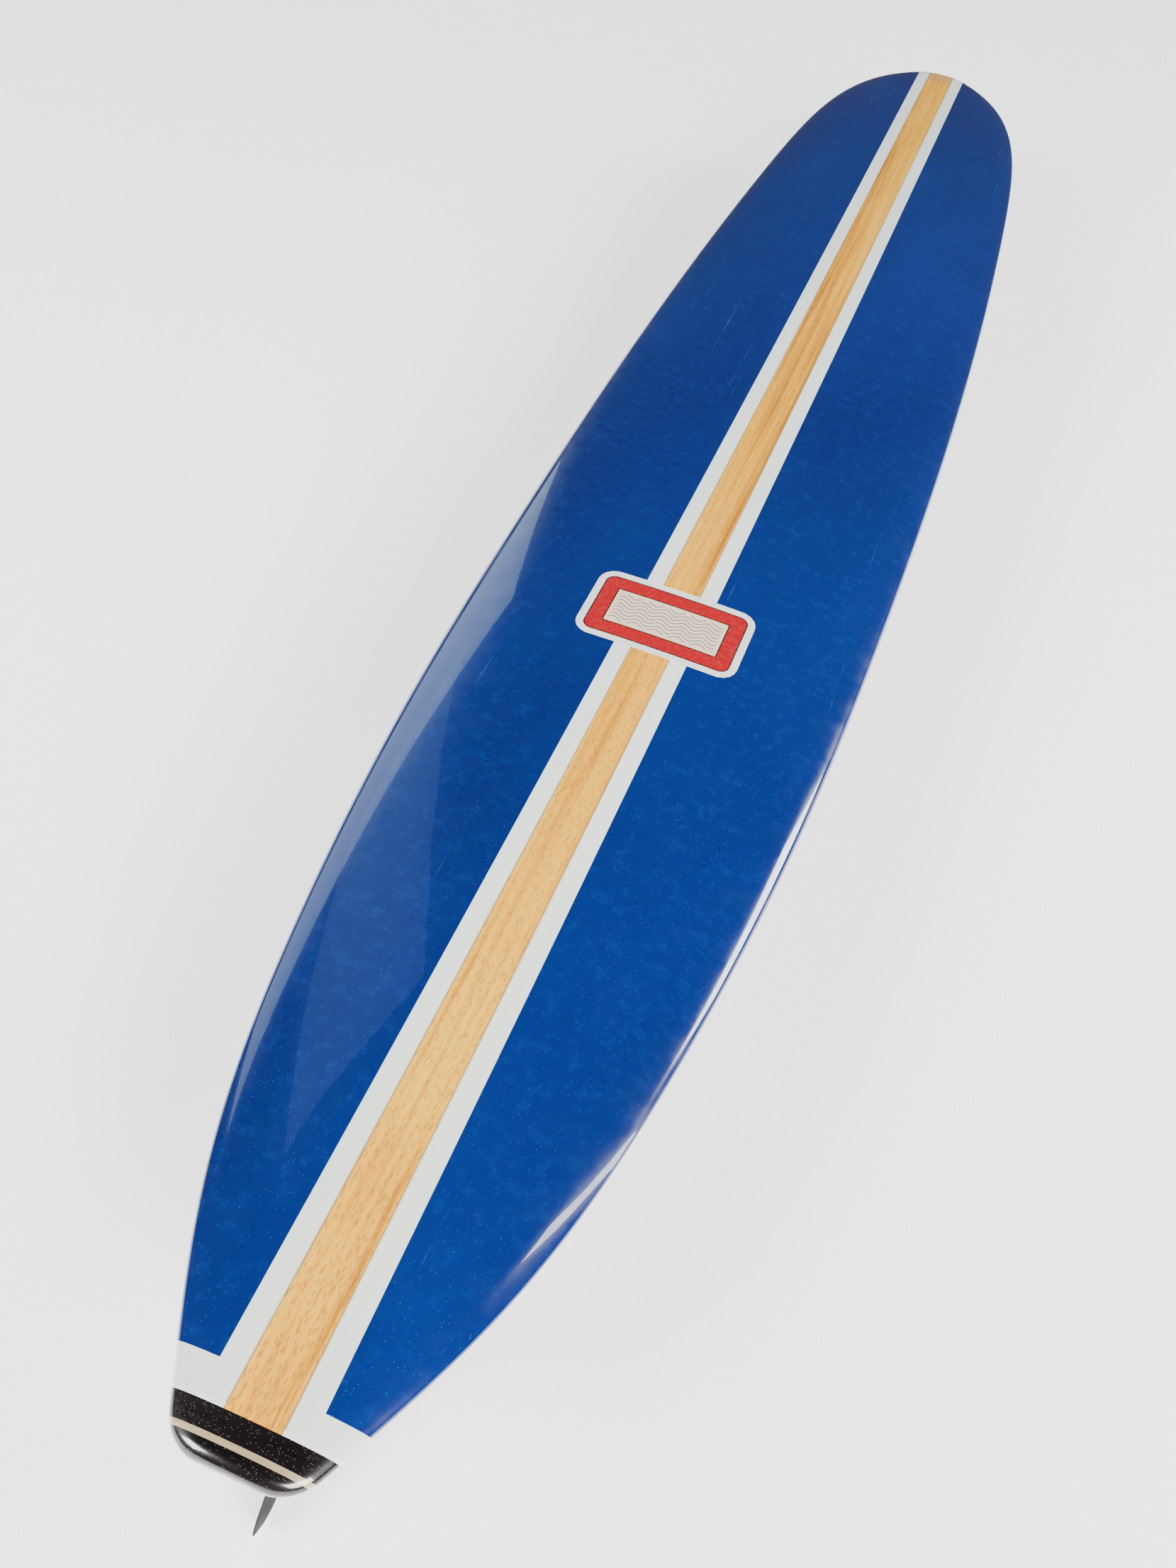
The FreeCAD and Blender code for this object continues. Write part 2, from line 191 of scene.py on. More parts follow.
def rows_between(y0, y1):
    """Stations between two seams: closer together near the tail and near the nose."""
    count = max(int(abs(y1 - y0) / ROW_STEP), 4)
    rows = []
    for i in range(count + 1):
        rows.append(y0 + (y1 - y0) * i / count)
    if y1 > NOSE_Y - 0.001:
        rows = [y for y in rows if y < NOSE_Y - NOSE_CLOSE]
        rows += [NOSE_Y - NOSE_CLOSE * (1 - i / NOSE_ROWS) ** 2 for i in range(NOSE_ROWS + 1)]
    if y0 < TAIL_Y + 0.001:
        turns = [math.pi / 2 * i / TAIL_ROWS for i in range(1, TAIL_ROWS + 1)]
        rows = [y0] + [TAIL_Y + (y1 - TAIL_Y) * (1 - math.cos(turn)) for turn in turns]
    return rows


# ---------------------------------------------------------------- mesh helpers
def new_object(name, mesh):
    """An object in the scene's collection."""
    obj = bpy.data.objects.new(name, mesh)
    bpy.context.scene.collection.objects.link(obj)
    return obj


def skin_piece(name, y0, y1, inner, outer, side, mirror, columns=30, depth=SKIN):
    """Closed skin between two seams. inner and outer give the seams' distance from the centre line."""
    rows = rows_between(y0, y1)
    verts = []
    normals = []
    for layer in (0.0, depth):
        for y in rows:
            b = max(half_width(y), SLIVER)
            start = math.sqrt(max(1 - min(inner / b, 1.0), 0.0))
            end = math.sqrt(max(1 - min(outer / b, 1.0), 0.0))
            for j in range(columns + 1):
                s = start + (end - start) * j / columns
                u = mirror * (1 - s * s)
                normal = surface_normal(y, u, side)
                verts.append(surface_point(y, u, side) - normal * layer)
                normals.append(normal)
    return grid_solid(name, verts, normals, len(rows), columns + 1)


def grid_solid(name, verts, normals, row_count, column_count):
    """Closed mesh from an outer and an inner grid of points, smooth over the outer face."""
    layer = row_count * column_count
    faces = []
    for i in range(row_count - 1):
        for j in range(column_count - 1):
            a = i * column_count + j
            faces.append((a, a + 1, a + column_count + 1, a + column_count))
    outer_faces = len(faces)
    for k in range(outer_faces):
        faces.append(tuple(v + layer for v in reversed(faces[k])))
    last = (row_count - 1) * column_count
    for j in range(column_count - 1):
        faces.append((j + 1, j, j + layer, j + 1 + layer))
        faces.append((last + j, last + j + 1, last + j + 1 + layer, last + j + layer))
    for i in range(row_count - 1):
        a = i * column_count
        b = a + column_count - 1
        faces.append((a, a + column_count, a + column_count + layer, a + layer))
        faces.append((b + column_count, b, b + layer, b + column_count + layer))
    mesh = bpy.data.meshes.new(name)
    mesh.from_pydata([tuple(v) for v in verts], [], faces)
    return finish_mesh(name, mesh, normals)


def finish_mesh(name, mesh, normals):
    """Weld, orient and shade a mesh, with the given normals over its outer face."""
    bm = bmesh.new()
    bm.from_mesh(mesh)
    layer = bm.verts.layers.float_vector.new("skin_normal")
    for vert, normal in zip(bm.verts, normals):
        vert[layer] = normal
    bmesh.ops.remove_doubles(bm, verts=bm.verts, dist=2e-5)
    bmesh.ops.dissolve_degenerate(bm, edges=bm.edges, dist=1e-6)
    bmesh.ops.recalc_face_normals(bm, faces=bm.faces)
    custom = []
    for face in bm.faces:
        face.smooth = True
        for loop in face.loops:
            wanted = loop.vert[layer]
            custom.append(wanted.copy() if wanted.dot(face.normal) > 0.8 else face.normal.copy())
    bm.verts.layers.float_vector.remove(layer)
    bm.to_mesh(mesh)
    bm.free()
    mesh.normals_split_custom_set([tuple(n) for n in custom])
    return new_object(name, mesh)


def slab_piece(name, y0, y1, x0, x1):
    """Closed slice of the board between two stations and two seams, deck, bottom and ends."""
    rows = rows_between(y0, y1)
    columns = 36
    verts = []
    normals = []
    ring = 2 * columns
    for y in rows:
        b = max(half_width(y), SLIVER)
        ua = max(x0 / b, -1.0)
        ub = min(x1 / b, 1.0)
        for side in (1, -1):
            order = range(columns + 1) if side > 0 else range(columns - 1, 0, -1)
            for j in order:
                turn = math.pi * j / columns
                u = ua + (ub - ua) * (1 - math.cos(turn)) / 2
                verts.append(surface_point(y, u, side))
                normals.append(surface_normal(y, u, side))
    faces = []
    for i in range(len(rows) - 1):
        for j in range(ring):
            k = (j + 1) % ring
            faces.append((i * ring + j, i * ring + k, (i + 1) * ring + k, (i + 1) * ring + j))
    for base in (0, (len(rows) - 1) * ring):
        for j in range(columns):
            a = base + j
            b = base + j + 1
            c = base + (ring - j - 1) % ring
            d = base + (ring - j) % ring
            corners = []
            for v in (a, b, c, d):
                if v not in corners:
                    corners.append(v)
            if len(corners) > 2:
                faces.append(tuple(corners))
    mesh = bpy.data.meshes.new(name)
    mesh.from_pydata([tuple(v) for v in verts], [], faces)
    return finish_mesh(name, mesh, normals)


def slotted_cutter():
    """Round-ended block that opens the wood over the fin box, tilted with the bottom there."""
    half_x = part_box("fin_box")[1][0]
    front = surface_point(BOX_HIGH[1], 0.0, -1)
    rear = surface_point(BOX_LOW[1], 0.0, -1)
    along = (front - rear).normalized()
    above = Vector((1.0, 0.0, 0.0)).cross(along)
    half_length = (front - rear).length / 2
    bm = bmesh.new()
    outline = []
    for end in (1, -1):
        for i in range(17):
            turn = math.pi * i / 16
            reach = (half_length - half_x) * end + half_x * math.sin(turn) * end
            outline.append(Vector((half_x * math.cos(turn) * end, 0.0, 0.0)) + along * reach)
    middle = (front + rear) / 2
    layers = []
    for height in (-0.02, BOX_DEPTH):
        layers.append([bm.verts.new(middle + p + above * height) for p in outline])
    bm.faces.new(layers[0])
    bm.faces.new(list(reversed(layers[1])))
    count = len(outline)
    for i in range(count):
        j = (i + 1) % count
        bm.faces.new((layers[0][j], layers[0][i], layers[1][i], layers[1][j]))
    bmesh.ops.recalc_face_normals(bm, faces=bm.faces)
    mesh = bpy.data.meshes.new("cutter")
    bm.to_mesh(mesh)
    bm.free()
    return new_object("cutter", mesh)


def cut_with(piece, cutter):
    """Take one object out of another and apply it."""
    change = piece.modifiers.new("cut", "BOOLEAN")
    change.operation = "DIFFERENCE"
    change.solver = "EXACT"
    change.object = cutter
    depsgraph = bpy.context.evaluated_depsgraph_get()
    mesh = bpy.data.meshes.new_from_object(piece.evaluated_get(depsgraph))
    piece.modifiers.clear()
    piece.data = mesh


# ---------------------------------------------------------------- materials
class Nodes:
    """Short calls for building a node material."""

    def __init__(self, name, roughness, coat=0.0, coat_roughness=0.03):
        self.material = bpy.data.materials.new(name)
        self.material.use_nodes = True
        self.tree = self.material.node_tree
        self.shader = self.tree.nodes["Principled BSDF"]
        self.shader.inputs["Roughness"].default_value = roughness
        self.shader.inputs["Coat Weight"].default_value = coat
        self.shader.inputs["Coat Roughness"].default_value = coat_roughness
        self.where = self.node("ShaderNodeTexCoord").outputs["Object"]

    def node(self, kind):
        return self.tree.nodes.new(kind)

    def link(self, source, socket):
        self.tree.links.new(source, socket)

    def scaled(self, scale, offset=(0.0, 0.0, 0.0)):
        mapping = self.node("ShaderNodeMapping")
        self.link(self.where, mapping.inputs["Vector"])
        mapping.inputs["Scale"].default_value = scale
        mapping.inputs["Location"].default_value = offset
        return mapping.outputs["Vector"]

    def noise(self, scale, stretch=(1.0, 1.0, 1.0), detail=4.0, rough=0.5, offset=(0.0, 0.0, 0.0)):
        noise = self.node("ShaderNodeTexNoise")
        self.link(self.scaled(stretch, offset), noise.inputs["Vector"])
        noise.inputs["Scale"].default_value = scale
        noise.inputs["Detail"].default_value = detail
        noise.inputs["Roughness"].default_value = rough
        return noise.outputs["Fac"]

    def cells(self, scale, stretch=(1.0, 1.0, 1.0), offset=(0.0, 0.0, 0.0)):
        cells = self.node("ShaderNodeTexVoronoi")
        self.link(self.scaled(stretch, offset), cells.inputs["Vector"])
        cells.inputs["Scale"].default_value = scale
        split = self.node("ShaderNodeSeparateColor")
        self.link(cells.outputs["Color"], split.inputs["Color"])
        return cells.outputs["Distance"], split.outputs["Red"]

    def ramp(self, value, stops):
        ramp = self.node("ShaderNodeValToRGB")
        self.link(value, ramp.inputs["Fac"])
        elements = ramp.color_ramp.elements
        while len(elements) < len(stops):
            elements.new(0.5)
        for element, (place, color) in zip(elements, stops):
            element.position = place
            full = tuple(color) if len(color) > 1 else (color[0],) * 3
            element.color = full + (1.0,)
        return ramp.outputs["Color"]

    def math(self, operation, a, b=0.0, c=0.0):
        node = self.node("ShaderNodeMath")
        node.operation = operation
        for socket, value in zip(node.inputs, (a, b, c)):
            if isinstance(value, (int, float)):
                socket.default_value = value
            else:
                self.link(value, socket)
        return node.outputs["Value"]

    def mix(self, factor, a, b, blend="MIX"):
        node = self.node("ShaderNodeMix")
        node.data_type = "RGBA"
        node.blend_type = blend
        for socket, value in ((node.inputs[0], factor), (node.inputs[6], a), (node.inputs[7], b)):
            if isinstance(value, (int, float)):
                socket.default_value = value
            elif isinstance(value, tuple):
                socket.default_value = (value[0], value[1], value[2], 1.0)
            else:
                self.link(value, socket)
        return node.outputs[2]

    def axes(self):
        split = self.node("ShaderNodeSeparateXYZ")
        self.link(self.where, split.inputs["Vector"])
        return split.outputs["X"], split.outputs["Y"], split.outputs["Z"]

    def bump(self, height, strength, distance, below=None):
        bump = self.node("ShaderNodeBump")
        bump.inputs["Strength"].default_value = strength
        bump.inputs["Distance"].default_value = distance
        self.link(height, bump.inputs["Height"])
        if below is not None:
            self.link(below, bump.inputs["Normal"])
        return bump.outputs["Normal"]

    def surface(self, color, roughness=None, normal=None, coat_normal=None):
        self.link(color, self.shader.inputs["Base Color"])
        if roughness is not None:
            self.link(roughness, self.shader.inputs["Roughness"])
        if normal is not None:
            self.link(normal, self.shader.inputs["Normal"])
        if coat_normal is not None:
            self.link(coat_normal, self.shader.inputs["Coat Normal"])
        return self.material


def resin_waves(n):
    """Long low ripples of hand-sanded resin, for the gloss coat."""
    broad = n.noise(5.0, (1.0, 0.6, 1.0), 2.0, 0.4)
    fine = n.noise(55.0, (1.0, 0.8, 1.0), 3.0, 0.5)
    return n.bump(fine, 0.12, 0.00025, n.bump(broad, 0.35, 0.0016))


def blue_material():
    """Polished deep blue resin with pinholes, a soft cloudiness and rubbed streaks."""
    n = Nodes("blue_resin", 0.18, 1.0, 0.02)
    cloud = n.noise(3.2, (1.0, 0.45, 1.0), 5.0, 0.55)
    base = n.ramp(cloud, ((0.30, (0.0001, 0.0095, 0.100)), (0.55, (0.0002, 0.014, 0.130)),
                          (0.80, (0.0004, 0.021, 0.165))))
    mottle = n.noise(70.0, (1.0, 1.0, 1.0), 4.0, 0.6)
    base = n.mix(n.ramp(mottle, ((0.50, (0.0,)), (0.85, (0.30,)))), base, (0.002, 0.055, 0.28))
    gap, tint = n.cells(420.0)
    holes = n.math("MULTIPLY", n.math("LESS_THAN", gap, 0.16), n.math("GREATER_THAN", tint, 0.80))
    base = n.mix(n.math("MULTIPLY", holes, 0.75), base, (0.03, 0.12, 0.36))
    gap_b, tint_b = n.cells(150.0, offset=(3.1, 1.7, 0.4))
    dark = n.math("MULTIPLY", n.math("LESS_THAN", gap_b, 0.10), n.math("GREATER_THAN", tint_b, 0.86))
    base = n.mix(n.math("MULTIPLY", dark, 0.7), base, (0.0004, 0.008, 0.06))
    scratch = n.noise(160.0, (1.0, 0.03, 1.0), 3.0, 0.65)
    worn = n.noise(4.0, (1.0, 1.0, 1.0), 2.0, 0.5, (0.0, -3.0, 0.0))
    rubbed = n.math("MULTIPLY", n.ramp(scratch, ((0.66, (0.0,)), (0.74, (1.0,)))),
                    n.ramp(worn, ((0.52, (0.0,)), (0.66, (1.0,)))))
    base = n.mix(n.math("MULTIPLY", rubbed, 0.35), base, (0.06, 0.20, 0.42))
    rough = n.ramp(n.noise(28.0, detail=3.0), ((0.35, (0.14,)), (0.75, (0.26,))))
    pits = n.bump(n.math("MULTIPLY", holes, -1.0), 0.35, 0.0003)
    return n.surface(base, rough, pits, resin_waves(n))


def weave_height(n, pitch):
    """Plain weave of cloth under resin."""
    x, y = n.axes()[:2]
    warp = n.math("SINE", n.math("MULTIPLY", x, 2 * math.pi / pitch))
    weft = n.math("SINE", n.math("MULTIPLY", y, 2 * math.pi / pitch))
    return n.math("MULTIPLY", warp, weft)


def cloth_material():
    """White foam seen through clear cloth and resin."""
    n = Nodes("clear_cloth", 0.24, 1.0, 0.03)
    tone = n.noise(9.0, (1.0, 0.5, 1.0), 4.0, 0.55)
    base = n.ramp(tone, ((0.30, (0.810, 0.900, 0.830)), (0.55, (0.870, 0.940, 0.880)),
                         (0.80, (0.905, 0.960, 0.910))))
    x, y = n.axes()[:2]
    aged = n.node("ShaderNodeMapRange")
    n.link(y, aged.inputs["Value"])
    aged.inputs["From Min"].default_value = TAIL_Y
    aged.inputs["From Max"].default_value = TAIL_Y + 0.75
    aged.inputs["To Min"].default_value = 0.55
    aged.inputs["To Max"].default_value = 0.0
    stain = n.ramp(n.noise(22.0, detail=5.0), ((0.30, (0.55,)), (0.70, (1.0,))))
    base = n.mix(n.math("MULTIPLY", aged.outputs["Result"], stain), base, (0.74, 0.78, 0.60))
    weave = weave_height(n, 0.0022)
    base = n.mix(n.math("MULTIPLY_ADD", weave, 0.035, 0.04), base, (0.55, 0.64, 0.56))
    gap, tint = n.cells(260.0)
    specks = n.math("MULTIPLY", n.math("LESS_THAN", gap, 0.13), n.math("GREATER_THAN", tint, 0.88))
    base = n.mix(n.math("MULTIPLY", specks, 0.45), base, (0.34, 0.36, 0.30))
    side = n.math("ABSOLUTE", x)
    glue = n.math("LESS_THAN", side, STRINGER_HALF + 0.0011)
    base = n.mix(n.math("MULTIPLY", glue, 0.55), base, (0.20, 0.13, 0.07))
    seam = n.math("GREATER_THAN", side, BAND_EDGE - 0.0005)
    ahead = n.math("GREATER_THAN", y, PANEL_END["left"])
    base = n.mix(n.math("MULTIPLY", n.math("MULTIPLY", seam, ahead), 0.35), base, (0.05, 0.12, 0.30))
    rough = n.ramp(n.noise(40.0), ((0.3, (0.18,)), (0.8, (0.30,))))
    return n.surface(base, rough, n.bump(weave, 0.10, 0.0002), resin_waves(n))


def wood_material(name, tones, fleck, knot_strength, shift=0.0):
    """Straight-grained light wood under gloss: long fibres, flecks and a few red-brown streaks."""
    n = Nodes(name, 0.30, 1.0, 0.03)
    warp = n.noise(1.4, (1.0, 0.5, 1.0), 2.0, 0.5, (shift, 0.0, 0.0))
    fibre = n.noise(150.0, (1.0, 0.014, 1.0), 5.0, 0.62, (shift, 0.0, 0.0))
    bands = n.noise(42.0, (1.0, 0.018, 1.0), 3.0, 0.5, (shift + 1.3, 0.0, 0.0))
    broad = n.math("MULTIPLY_ADD", bands, 0.35, n.math("MULTIPLY", warp, 0.15))
    blend = n.math("MULTIPLY_ADD", fibre, 0.50, broad)
    base = n.ramp(blend, ((0.36, tones[0]), (0.50, tones[1]), (0.64, tones[2])))
    x, y = n.axes()[:2]
    gap, tint = n.cells(520.0, (1.0, 0.22, 1.0), (shift, 0.0, 0.0))
    strong = n.node("ShaderNodeMapRange")
    n.link(y, strong.inputs["Value"])
    strong.inputs["From Min"].default_value = -HALF_LENGTH
    strong.inputs["From Max"].default_value = 0.6
    strong.inputs["To Min"].default_value = 1.0
    strong.inputs["To Max"].default_value = 0.45
    flecks = n.math("MULTIPLY", n.math("LESS_THAN", gap, 0.42), n.math("GREATER_THAN", tint, 0.52))
    flecks = n.math("MULTIPLY", flecks, strong.outputs["Result"])
    base = n.mix(n.math("MULTIPLY", flecks, 0.50), base, fleck)
    gap_l, tint_l = n.cells(300.0, (1.0, 0.12, 1.0), (shift + 0.7, 0.4, 0.0))
    pale = n.math("MULTIPLY", n.math("LESS_THAN", gap_l, 0.22), n.math("GREATER_THAN", tint_l, 0.78))
    base = n.mix(n.math("MULTIPLY", pale, 0.35), base, (0.95, 0.62, 0.20))
    streak = n.noise(30.0, (1.0, 0.045, 1.0), 2.0, 0.5, (shift + 4.2, 0.7, 0.0))
    red = n.ramp(streak, ((0.70, (0.0,)), (0.80, (1.0,))))
    base = n.mix(n.math("MULTIPLY", red, knot_strength), base, (0.23, 0.075, 0.025))
    lap = n.math("GREATER_THAN", y, NOSE_Y - NOSE_LAP)
    base = n.mix(n.math("MULTIPLY", lap, 0.45), base, (0.40, 0.29, 0.16))
    edge = n.math("GREATER_THAN", n.math("ABSOLUTE", x), STRINGER_HALF - 0.0009)
    base = n.mix(n.math("MULTIPLY", edge, 0.65), base, (0.13, 0.070, 0.028))
    rough = n.ramp(fibre, ((0.3, (0.22,)), (0.8, (0.36,))))
    return n.surface(base, rough, n.bump(fibre, 0.12, 0.0003), resin_waves(n))


def dark_block_material():
    """Very dark end block with pale pores, under gloss."""
    n = Nodes("dark_block", 0.28, 1.0, 0.03)
    grain = n.noise(95.0, (0.10, 1.0, 1.0), 5.0, 0.65)
    base = n.ramp(grain, ((0.35, (0.0012, 0.0004, 0.0008)), (0.55, (0.0040, 0.0012, 0.0020)),
                          (0.75, (0.016, 0.006, 0.007))))
    gap, tint = n.cells(900.0, (0.7, 1.0, 1.0))
    pores = n.math("MULTIPLY", n.math("LESS_THAN", gap, 0.28), n.math("GREATER_THAN", tint, 0.72))
    base = n.mix(n.math("MULTIPLY", pores, 0.40), base, (0.26, 0.22, 0.22))
    rough = n.ramp(grain, ((0.3, (0.20,)), (0.8, (0.36,))))
    return n.surface(base, rough, n.bump(grain, 0.15, 0.0003), resin_waves(n))


def inlay_material(name, low, high):
    """Thin inlaid strip across the tail, grain across the board."""
    n = Nodes(name, 0.30, 1.0, 0.03)
    grain = n.noise(120.0, (0.08, 1.0, 1.0), 4.0, 0.6)
    base = n.ramp(grain, ((0.35, low), (0.65, high)))
    gap, tint = n.cells(700.0, (0.4, 1.0, 1.0))
    specks = n.math("MULTIPLY", n.math("LESS_THAN", gap, 0.25), n.math("GREATER_THAN", tint, 0.82))
    base = n.mix(n.math("MULTIPLY", specks, 0.35), base, tuple(c * 0.35 for c in low))
    return n.surface(base, n.ramp(grain, ((0.3, (0.22,)), (0.8, (0.34,)))), n.bump(grain, 0.1, 0.0002),
                     resin_waves(n))


def fin_material():
    """Near-black green laminate with a trace of cloth."""
    n = Nodes("fin_laminate", 0.34)
    n.shader.inputs["Specular IOR Level"].default_value = 0.03
    cloud = n.noise(14.0, detail=4.0)
    base = n.ramp(cloud, ((0.30, (0.003, 0.005, 0.004)), (0.60, (0.007, 0.011, 0.009)),
                          (0.85, (0.015, 0.022, 0.018))))
    y, z = n.axes()[1:]
    warp = n.math("SINE", n.math("MULTIPLY", y, 2 * math.pi / 0.0016))
    weft = n.math("SINE", n.math("MULTIPLY", z, 2 * math.pi / 0.0016))
    weave = n.math("MULTIPLY", warp, weft)
    base = n.mix(n.math("MULTIPLY_ADD", weave, 0.05, 0.05), base, (0.06, 0.08, 0.07))
    rough = n.ramp(n.noise(60.0), ((0.3, (0.42,)), (0.8, (0.55,))))
    return n.surface(base, rough, n.bump(weave, 0.08, 0.00015))


def plain_material(name, low, high, roughness, metallic, scale, bump_size, stretch=(1.0, 1.0, 1.0)):
    """Moulded or brushed part with fine variation."""
    n = Nodes(name, roughness)
    n.shader.inputs["Metallic"].default_value = metallic
    grain = n.noise(scale, stretch, 4.0, 0.6)
    base = n.ramp(grain, ((0.3, low), (0.7, high)))
    rough = n.ramp(grain, ((0.25, (roughness * 0.8,)), (0.8, (roughness * 1.3,))))
    return n.surface(base, rough, n.bump(grain, 0.3, bump_size))


def label_material(center_y, half_x, half_y, corner):
    """Generic printed panel: white edge, black lines, red frame and a cream middle with waves."""
    n = Nodes("printed_label", 0.28, 1.0, 0.03)
    x, y = n.axes()[:2]
    ax = n.math("ABSOLUTE", x)
    ay = n.math("ABSOLUTE", n.math("SUBTRACT", y, center_y))
    qx = n.math("SUBTRACT", ax, half_x - corner)
    qy = n.math("SUBTRACT", ay, half_y - corner)
    px = n.math("MAXIMUM", qx, 0.0)
    py = n.math("MAXIMUM", qy, 0.0)
    away = n.math("SQRT", n.math("ADD", n.math("MULTIPLY", px, px), n.math("MULTIPLY", py, py)))
    inside = n.math("MINIMUM", n.math("MAXIMUM", qx, qy), 0.0)
    inset = n.math("SUBTRACT", corner, n.math("ADD", away, inside))
    share = n.math("MULTIPLY", inset, 1 / 0.05)
    white = (0.80, 0.84, 0.78)
    black = (0.012, 0.010, 0.010)
    red = (0.40, 0.004, 0.010)
    cream = (0.86, 0.66, 0.44)
    base = n.ramp(share, ((0.0, white), (0.200, white), (0.205, black), (0.235, black), (0.240, red),
                          (0.640, red), (0.645, black), (0.675, black), (0.680, cream), (1.0, cream)))
    crest = n.math("MULTIPLY", n.math("SINE", n.math("MULTIPLY", x, 2 * math.pi / 0.030)), 0.0035)
    level = n.math("ADD", n.math("SUBTRACT", y, center_y), crest)
    repeat = n.math("ABSOLUTE", n.math("SUBTRACT", n.math("PINGPONG", level, 0.0070), 0.0035))
    line = n.math("LESS_THAN", repeat, 0.0009)
    middle = n.math("GREATER_THAN", share, 0.78)
    base = n.mix(n.math("MULTIPLY", n.math("MULTIPLY", line, middle), 0.85), base, (0.02, 0.06, 0.22))
    ink = n.noise(240.0, detail=3.0)
    base = n.mix(n.ramp(ink, ((0.50, (0.0,)), (0.85, (0.10,)))), base, (0.62, 0.52, 0.40))
    rough = n.ramp(ink, ((0.3, (0.22,)), (0.8, (0.34,))))
    return n.surface(base, rough, n.bump(ink, 0.05, 0.0002), resin_waves(n))


# ---------------------------------------------------------------- build the pieces
def dress(obj, material, body, slot_name, *nodes):
    """Give a piece its material and its body, and hide the CAD nodes it stands for. slot_name is not
    used.
    """
    obj.data.materials.clear()
    obj.data.materials.append(material)
    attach(obj, body)
    if nodes:
        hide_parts(*nodes)


def build_skins(blue, cloth):
    """Blue side panels and the clear bands between them and the stringer, deck and bottom."""
    for side, word in ((1, "deck"), (-1, "bottom")):
        for mirror, hand in ((-1, "left"), (1, "right")):
            tip = NOSE_Y
            while half_width(tip) < BAND_EDGE + 0.0004:
                tip -= 0.0002
            panel = skin_piece(word + "_blue_" + hand, PANEL_END[hand], tip, BAND_EDGE, PAST_THE_RAIL,
                               side, mirror, 44)
            dress(panel, blue, "board", "blue_laminate", word + "_panel_" + hand)
            band = skin_piece(word + "_band_" + hand, PANEL_END[hand], NOSE_Y, STRINGER_HALF, BAND_EDGE,
                              side, mirror, 14)
            dress(band, cloth, "board", "clear_laminate")
            tail = skin_piece(word + "_tail_" + hand, STRIP_FRONT, PANEL_END[hand],
                              STRINGER_HALF, PAST_THE_RAIL, side, mirror, 40)
            dress(tail, cloth, "board", "clear_laminate")
            if hand == "right":
                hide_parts(word + "_glass")


def build_core(wood, dark, stripe, white):
    """Wooden stringer with the fin box's pocket, and the layers of the tail block."""
    stringer = slab_piece("stringer_wood", BLOCK_FRONT, NOSE_Y, -STRINGER_HALF, STRINGER_HALF)
    cutter = slotted_cutter()
    cut_with(stringer, cutter)
    bpy.data.objects.remove(cutter)
    dress(stringer, wood, "board", "balsa", "stringer")
    wide = PAST_THE_RAIL
    for name, y0, y1, x0, x1, material, slot_name in (
            ("tail_strip_left", BLOCK_FRONT, STRIP_FRONT, -wide, -STRINGER_HALF, white, "pale_wood"),
            ("tail_strip_right", BLOCK_FRONT, STRIP_FRONT, STRINGER_HALF, wide, white, "pale_wood"),
            ("tail_block_front", STRIPE_FRONT, BLOCK_FRONT, -wide, wide, dark, "dark_wood"),
            ("tail_block_stripe", STRIPE_REAR, STRIPE_FRONT, -wide, wide, stripe, "stripe_wood"),
            ("tail_block_rear", TAIL_Y, STRIPE_REAR, -wide, wide, dark, "dark_wood")):
        piece = slab_piece(name + "_wood", y0, y1, x0, x1)
        dress(piece, material, "board", slot_name, name)


def build_label():
    """Printed sheet, a little proud of the deck, that follows its crown."""
    low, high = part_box("label")
    center = (low[1] + high[1]) / 2
    half_x = high[0]
    half_y = (high[1] - low[1]) / 2
    corner = LABEL_CORNER
    rings = 14
    around = 96    # points round each ring
    verts = []
    normals = []
    for layer in (LABEL_PROUD, -LABEL_DEPTH):
        for k in range(rings + 1):
            share = k / rings
            for i in range(around):
                turn = 2 * math.pi * (i + 0.5) / around
                c, s = math.cos(turn), math.sin(turn)
                px, py = rounded_reach(c, s, half_x, half_y, corner)
                x, y = px * share, center + py * share
                u = x / half_width(y)
                normal = surface_normal(y, u, 1)
                verts.append(surface_point(y, u, 1) + normal * layer)
                normals.append(normal)
    faces = []
    count = (rings + 1) * around
    for k in range(rings):
        for i in range(around):
            j = (i + 1) % around
            a, b = k * around + i, k * around + j
            faces.append((a, b, b + around, a + around))
            faces.append((a + count, a + around + count, b + around + count, b + count))
    for i in range(around):
        j = (i + 1) % around
        a, b = rings * around + i, rings * around + j
        faces.append((a, b, b + count, a + count))
    mesh = bpy.data.meshes.new("deck_label")
    mesh.from_pydata([tuple(v) for v in verts], [], faces)
    label = finish_mesh("deck_label", mesh, normals)
    dress(label, label_material(center, half_x, half_y, corner), "board", "print", "label")


def rounded_reach(c, s, half_x, half_y, corner):
    """Point of a rounded rectangle's edge in a given direction from its centre."""
    low, high = 0.0, 1.0
    for _ in range(40):
        reach = (low + high) / 2
        qx = abs(c * reach) - (half_x - corner)
        qy = abs(s * reach) - (half_y - corner)
        distance = math.hypot(max(qx, 0.0), max(qy, 0.0)) + min(max(qx, qy), 0.0) - corner
        if distance > 0:
            high = reach
        else:
            low = reach
    return c * low, s * low


def keep_cad(node, material):
    """Give a CAD node its own material."""
    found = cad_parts[node]
    for part in found if isinstance(found, list) else [found]:
        part.data.materials.clear()
        part.data.materials.append(material)


